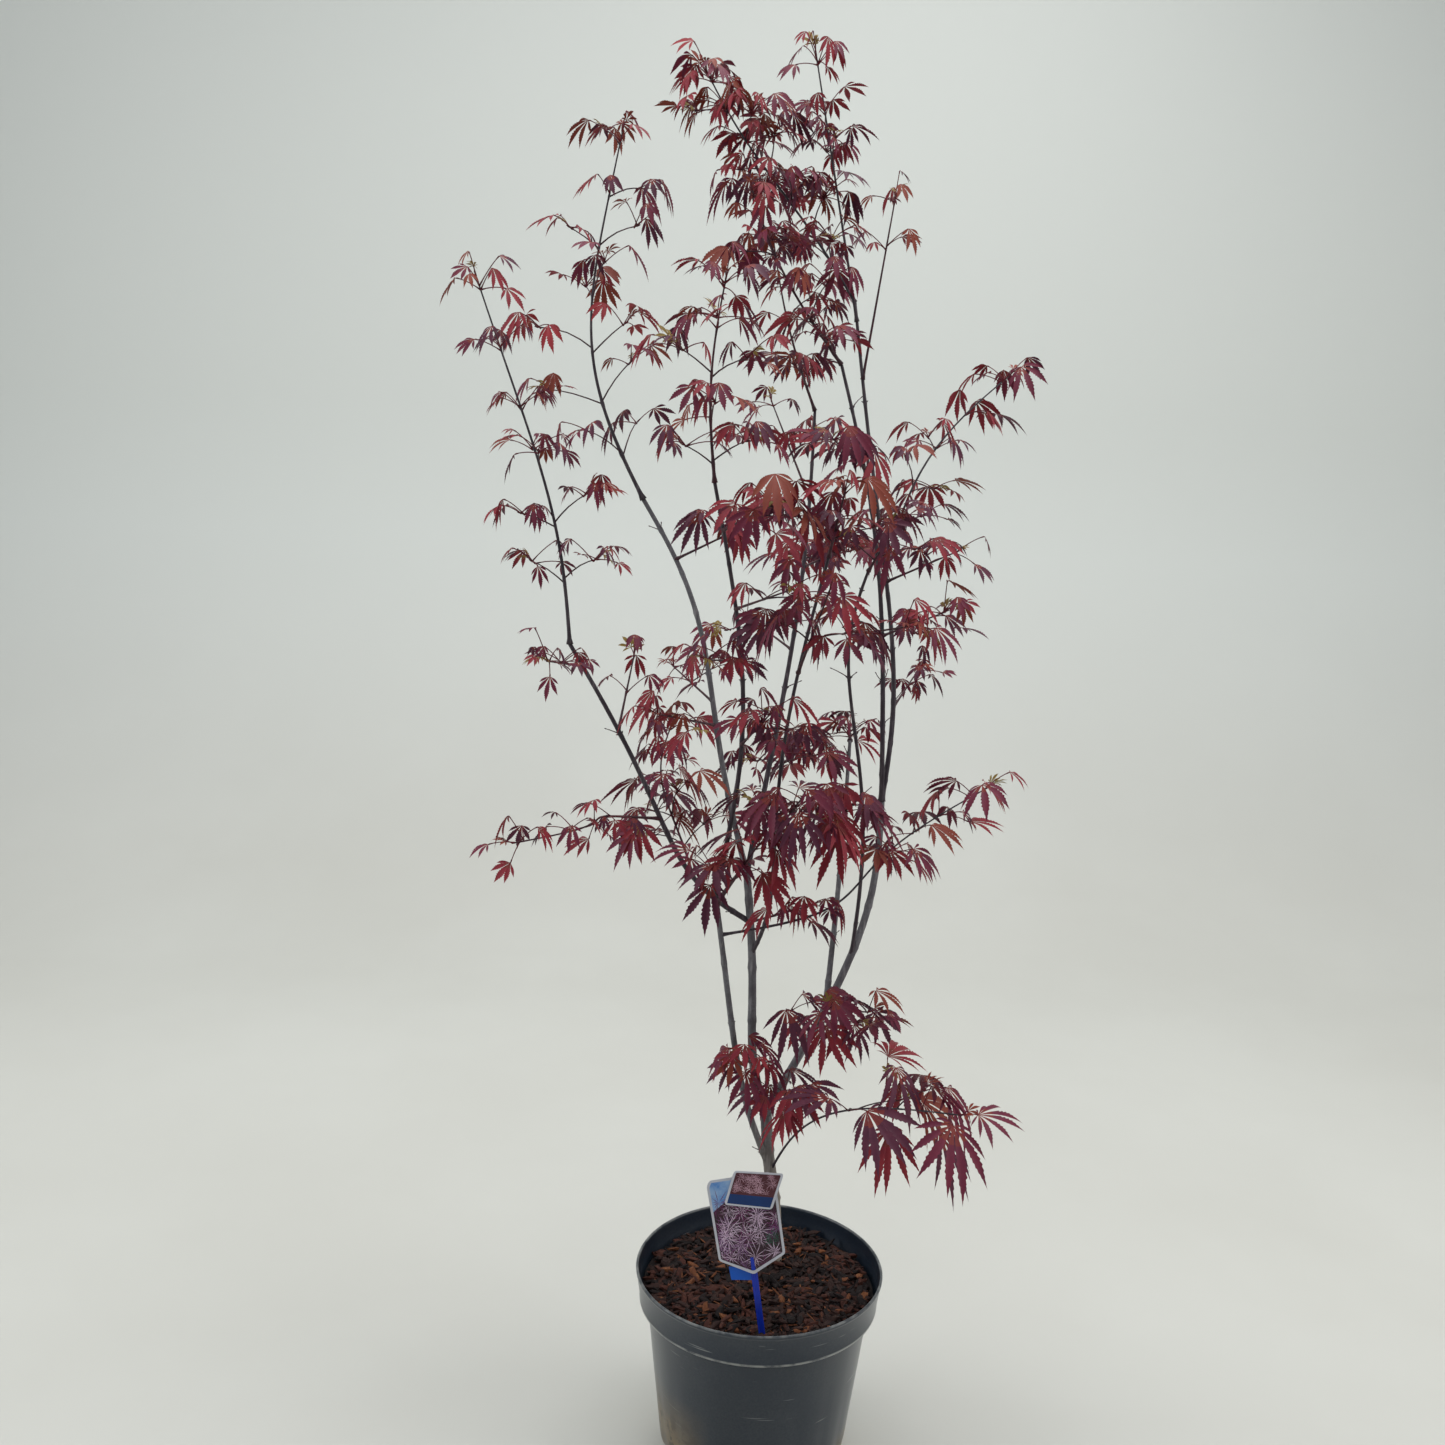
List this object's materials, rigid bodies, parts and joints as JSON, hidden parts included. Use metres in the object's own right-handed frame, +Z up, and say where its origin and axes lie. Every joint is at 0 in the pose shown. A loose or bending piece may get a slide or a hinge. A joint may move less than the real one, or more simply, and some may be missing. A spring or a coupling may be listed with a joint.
{
  "type": "potted japanese maple",
  "caption": "Young red-leaved Japanese maple with several upright stems and airy sprays of deeply cut leaves, growing in a round plastic nursery pot with a label on a stake.",
  "frame": {"origin": "centre of the pot's flat underside", "axes": "+Z up the plant, +Y away from the label side, +X to the right when looking at the label"},
  "size_m": [0.6777, 0.5414, 1.6172],
  "materials": {
    "pot": "satin, scuffed",
    "mulch": "rough bark chips",
    "old_bark": "matt grey-brown bark",
    "young_bark": "smooth purple-brown bark",
    "foliage": "soft leaves",
    "blue_plastic": "smooth",
    "print": "printed card"
  },
  "bodies": {
    "root": {"pot": "pot", "root_ball": "mulch", "label_stake": "blue_plastic", "label_board": "print", "trunk": "old_bark", "stem_grey": "old_bark", "stem_right": "old_bark", "stem_left": "old_bark", "stem_centre": "young_bark", "bough_left": "young_bark", "bough_mid": "old_bark", "bough_back": "young_bark", "bough_front": "young_bark", "bough_inner": "old_bark", "bough_outer": "young_bark", "bough_near": "young_bark", "bough_thin": "young_bark", "foliage_left_top": "foliage", "foliage_left_elbow": "foliage", "foliage_left_rise": "foliage", "foliage_left_low": "foliage", "foliage_left_core": "foliage", "foliage_mid_top": "foliage", "foliage_mid_inner": "foliage", "foliage_mid_fork": "foliage", "foliage_mid_low": "foliage", "foliage_centre_top": "foliage", "foliage_centre_mid": "foliage", "foliage_centre_front": "foliage", "foliage_centre_left": "foliage", "foliage_centre_low": "foliage", "foliage_centre_base": "foliage", "foliage_trunk_left": "foliage", "foliage_trunk_front": "foliage", "foliage_low_right": "foliage", "foliage_fork_front": "foliage", "foliage_fork_right": "foliage", "foliage_grey_right": "foliage", "foliage_back_top": "foliage", "foliage_back_high": "foliage", "foliage_back_mid": "foliage", "foliage_back_low": "foliage", "foliage_back_base": "foliage", "foliage_front_top": "foliage", "foliage_front_mid": "foliage", "foliage_front_low": "foliage", "foliage_thin_top": "foliage", "foliage_thin_mid": "foliage", "foliage_thin_low": "foliage", "foliage_near_top": "foliage", "foliage_near_mid": "foliage", "foliage_near_low": "foliage", "foliage_crown": "foliage", "foliage_outer_top": "foliage", "foliage_outer_high": "foliage", "foliage_wing": "foliage", "foliage_outer_mid": "foliage", "foliage_outer_low": "foliage", "foliage_cross_right": "foliage", "foliage_inner_top": "foliage"}
  },
  "joints": []
}
